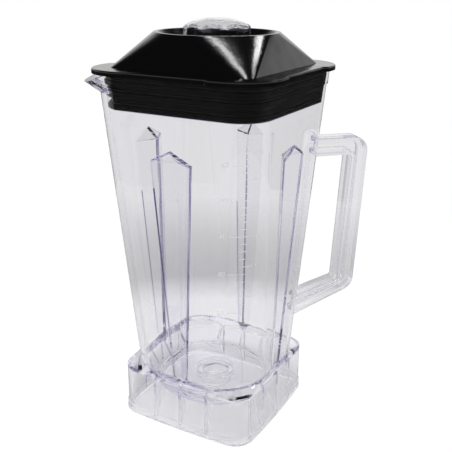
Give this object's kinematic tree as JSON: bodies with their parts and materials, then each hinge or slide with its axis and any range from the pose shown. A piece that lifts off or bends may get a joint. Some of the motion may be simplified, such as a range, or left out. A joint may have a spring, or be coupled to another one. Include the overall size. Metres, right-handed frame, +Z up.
{
  "type": "blender jar",
  "caption": "Clear square blender jar with fluted walls, side handle, pouring lip, open skirt and blade seat, closed by a black rubber lid with a clear twist-lock plug.",
  "frame": {"origin": "on the jar's axis, in the plane of its foot", "axes": "+Z up along the jar's axis, +X towards the handle, pouring lip at -X, so the four walls face the diagonals"},
  "size_m": [0.204, 0.1698, 0.291],
  "materials": {
    "clear_body": "clear, polished, faint lilac tint",
    "black_rubber": "smooth, glossy",
    "clear_plug": "clear, polished"
  },
  "bodies": {
    "jar": {"jar": "clear_body", "lid": "black_rubber"},
    "plug": {"lid_plug": "clear_plug"}
  },
  "joints": [
    {"name": "plug_turn", "type": "hinge", "parent": "jar", "child": "plug", "pos_m": [0, 0, 0.27], "axis": [0, 0, 1], "range_deg": [0, 90]}
  ]
}
